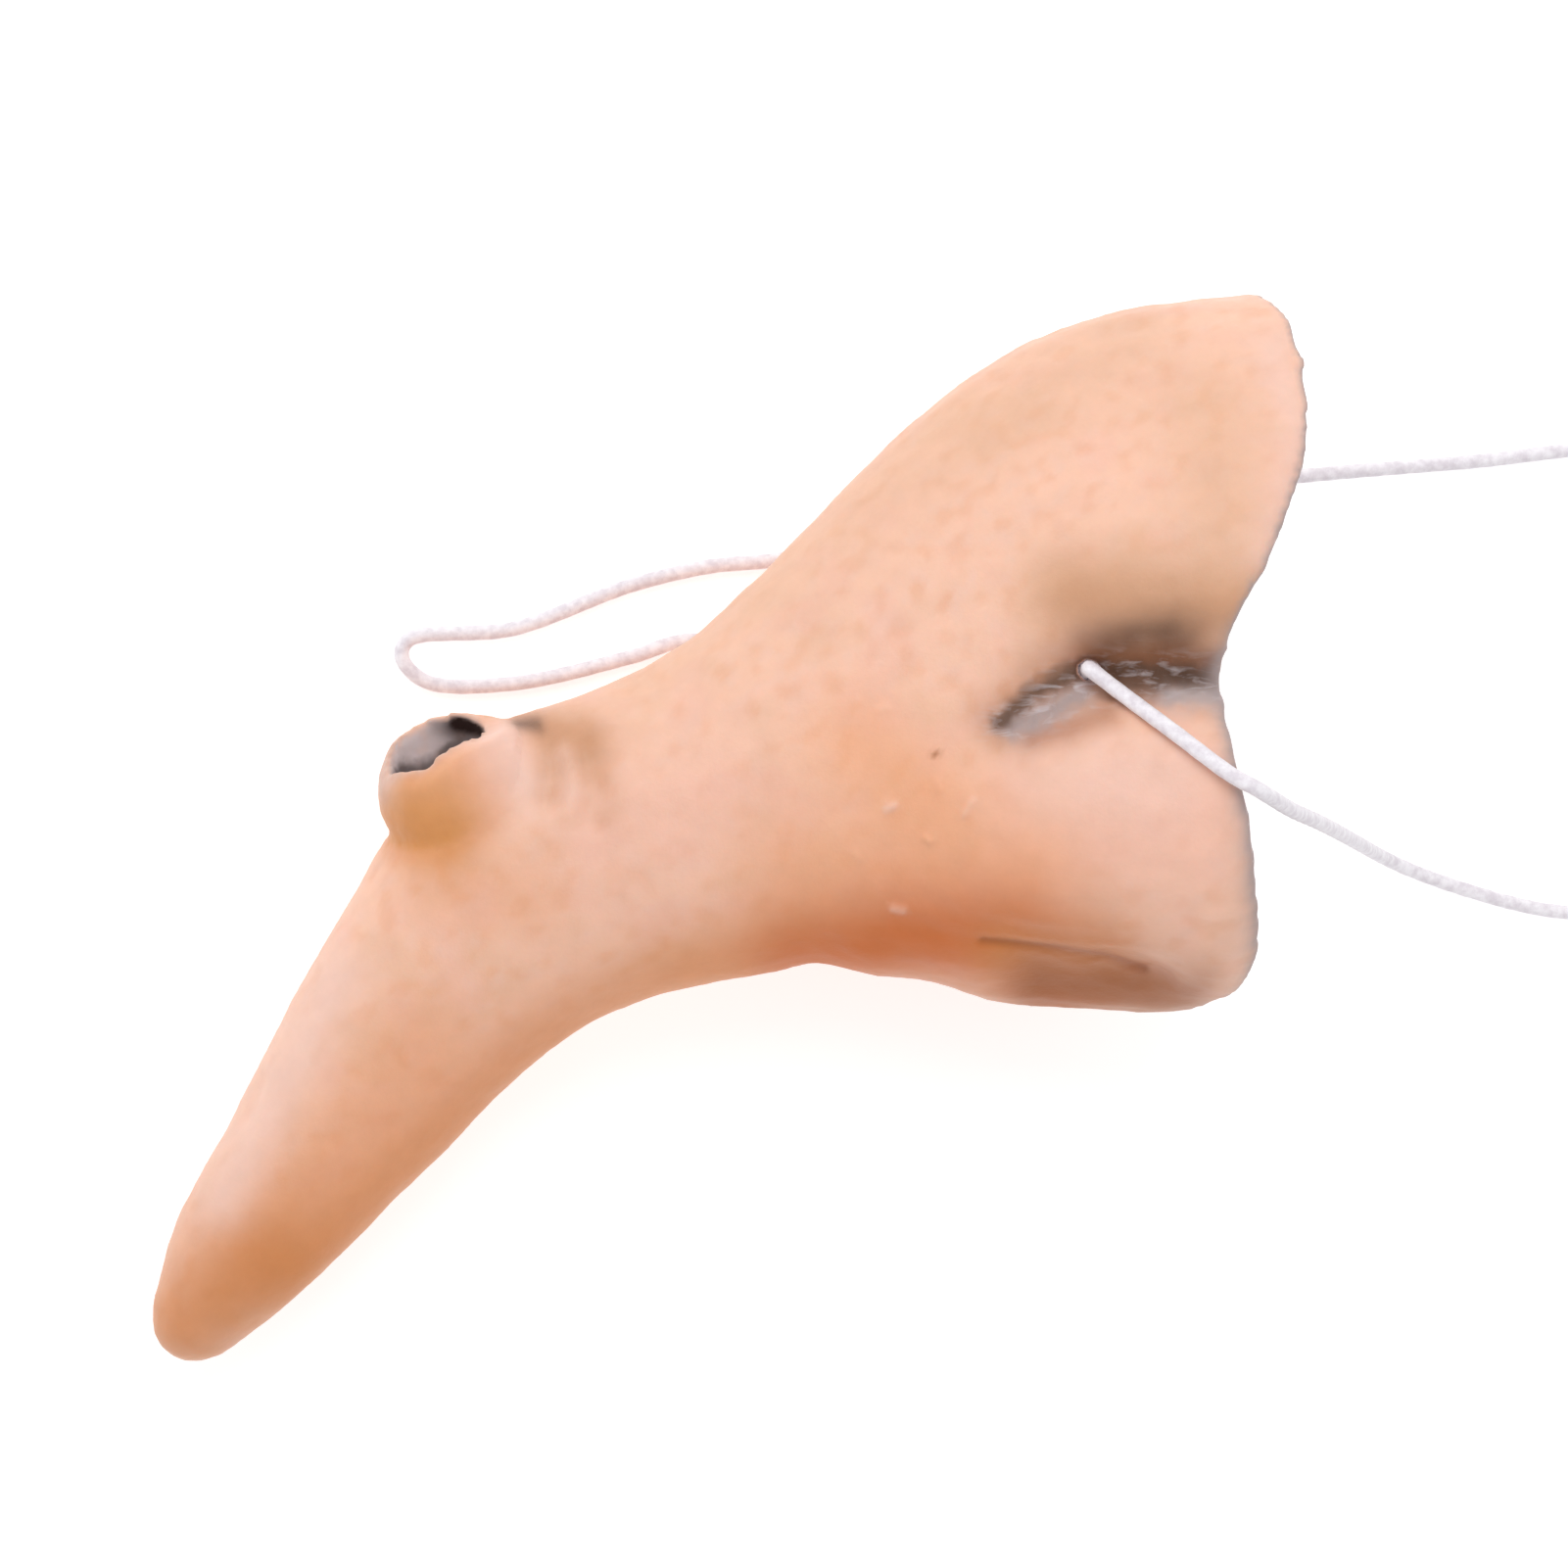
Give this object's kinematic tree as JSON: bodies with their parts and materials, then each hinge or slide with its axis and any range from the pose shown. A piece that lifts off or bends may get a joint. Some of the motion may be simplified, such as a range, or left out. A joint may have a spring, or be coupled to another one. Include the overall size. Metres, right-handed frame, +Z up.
{
  "type": "halloween fake nose",
  "caption": "Long hooked costume nose of moulded latex with a cratered wart on its bridge, worn on a thin round elastic",
  "frame": {"origin": "on the ground, under the middle of the nose's box as it lies on its right cheek", "axes": "+X from the tip back to the face, +Y up the bridge, +Z up from the ground, out of the left cheek"},
  "size_m": [0.1992, 0.115, 0.0577],
  "materials": {
    "latex_skin": "satin painted latex",
    "elastic": "matt knitted elastic"
  },
  "bodies": {
    "root": {"nose_shell": "latex_skin", "elastic_cord": "elastic", "left_knot": "elastic", "right_knot": "elastic"}
  },
  "joints": []
}
